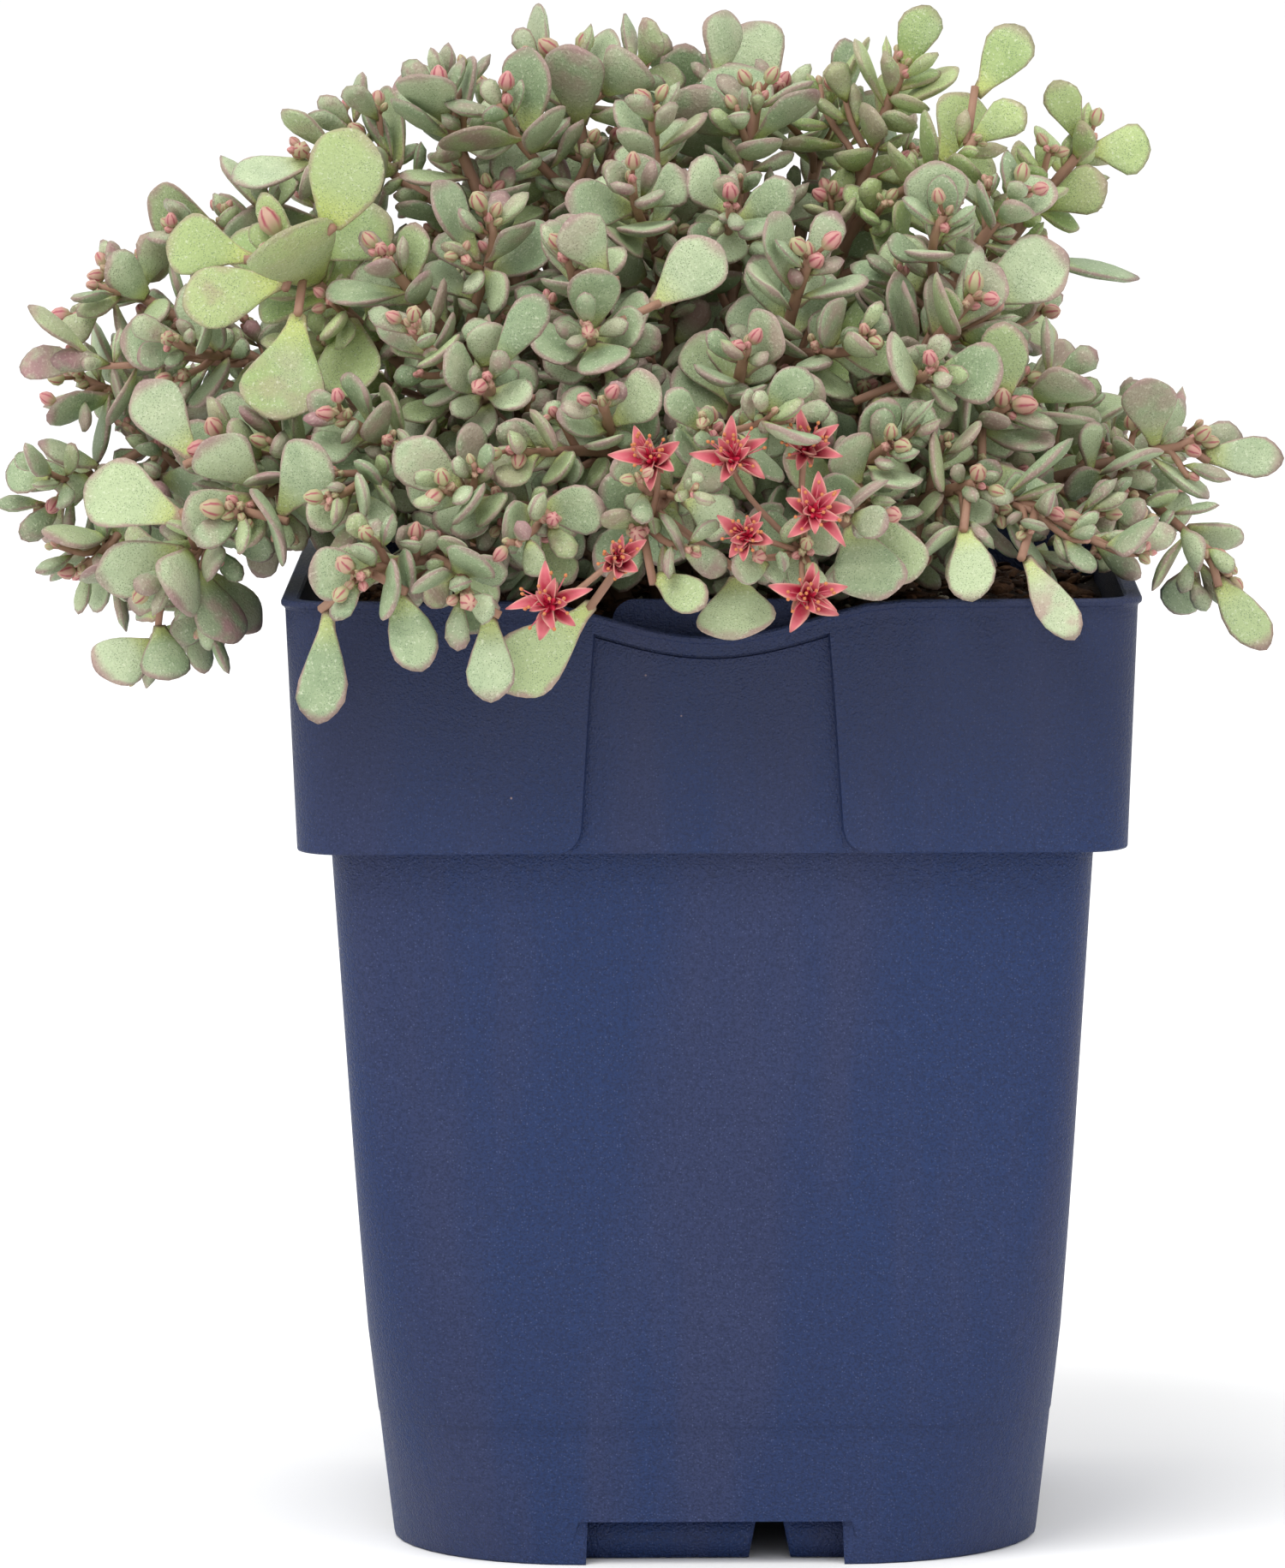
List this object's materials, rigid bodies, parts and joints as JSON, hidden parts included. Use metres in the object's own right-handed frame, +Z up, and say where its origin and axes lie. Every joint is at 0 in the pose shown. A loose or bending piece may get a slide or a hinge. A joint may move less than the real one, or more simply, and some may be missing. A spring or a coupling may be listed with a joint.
{
  "type": "potted lidakense stonecrop",
  "caption": "Stonecrop with fleshy grey-green leaves, bud heads and small red star flowers, spilling over a square navy plastic pot.",
  "frame": {"origin": "centre of the pot's underside, on the surface it stands on", "axes": "+Z up, -Y the side with the label slot in the rim, +X to the right seen from that side"},
  "size_m": [0.182, 0.1541, 0.218],
  "materials": {
    "pot": "navy moulded plastic, fine grain, matte",
    "soil": "dark brown potting soil with bark and pale specks, rough",
    "leaf": "fleshy grey-green leaf with a waxy bloom, dark dots and purple edges, satin",
    "pale_leaf": "fleshy yellow-green leaf with fine dark dots and a thin pink edge, satin",
    "stem": "brown-red stem, smooth, satin",
    "bud": "cream-green bud with crimson ribs, satin",
    "bloom": "red-pink petals with pale edges, soft satin"
  },
  "bodies": {
    "root": {"pot": "pot", "soil": "soil", "stem_01": "pale_leaf", "stem_02": "pale_leaf", "stem_03": "leaf", "stem_04": "leaf", "stem_05": "leaf", "stem_06": "leaf", "stem_07": "leaf", "stem_08": "leaf", "stem_09": "pale_leaf", "stem_10": "leaf", "stem_11": "leaf", "stem_12": "leaf", "stem_13": "leaf", "stem_14": "leaf", "stem_15": "leaf", "stem_16": "leaf", "stem_17": "leaf", "stem_18": "leaf", "stem_19": "leaf", "stem_20": "leaf", "stem_21": "leaf", "stem_22": "leaf", "stem_23": "leaf", "stem_24": "leaf", "stem_25": "leaf", "stem_26": "leaf", "stem_27": "leaf", "stem_28": "leaf", "stem_29": "leaf", "stem_30": "leaf", "stem_31": "leaf", "stem_32": "leaf", "stem_33": "leaf", "stem_34": "leaf", "stem_35": "leaf", "stem_36": "leaf", "stem_37": "leaf", "stem_38": "leaf", "stem_39": "leaf", "stem_40": "leaf", "stem_41": "leaf", "bloom_1": "bloom", "bloom_2": "bloom", "bloom_3": "bloom", "bloom_4": "bloom", "bloom_5": "bloom", "bloom_6": "bloom", "bloom_7": "bloom", "bloom_8": "bloom"}
  },
  "joints": []
}
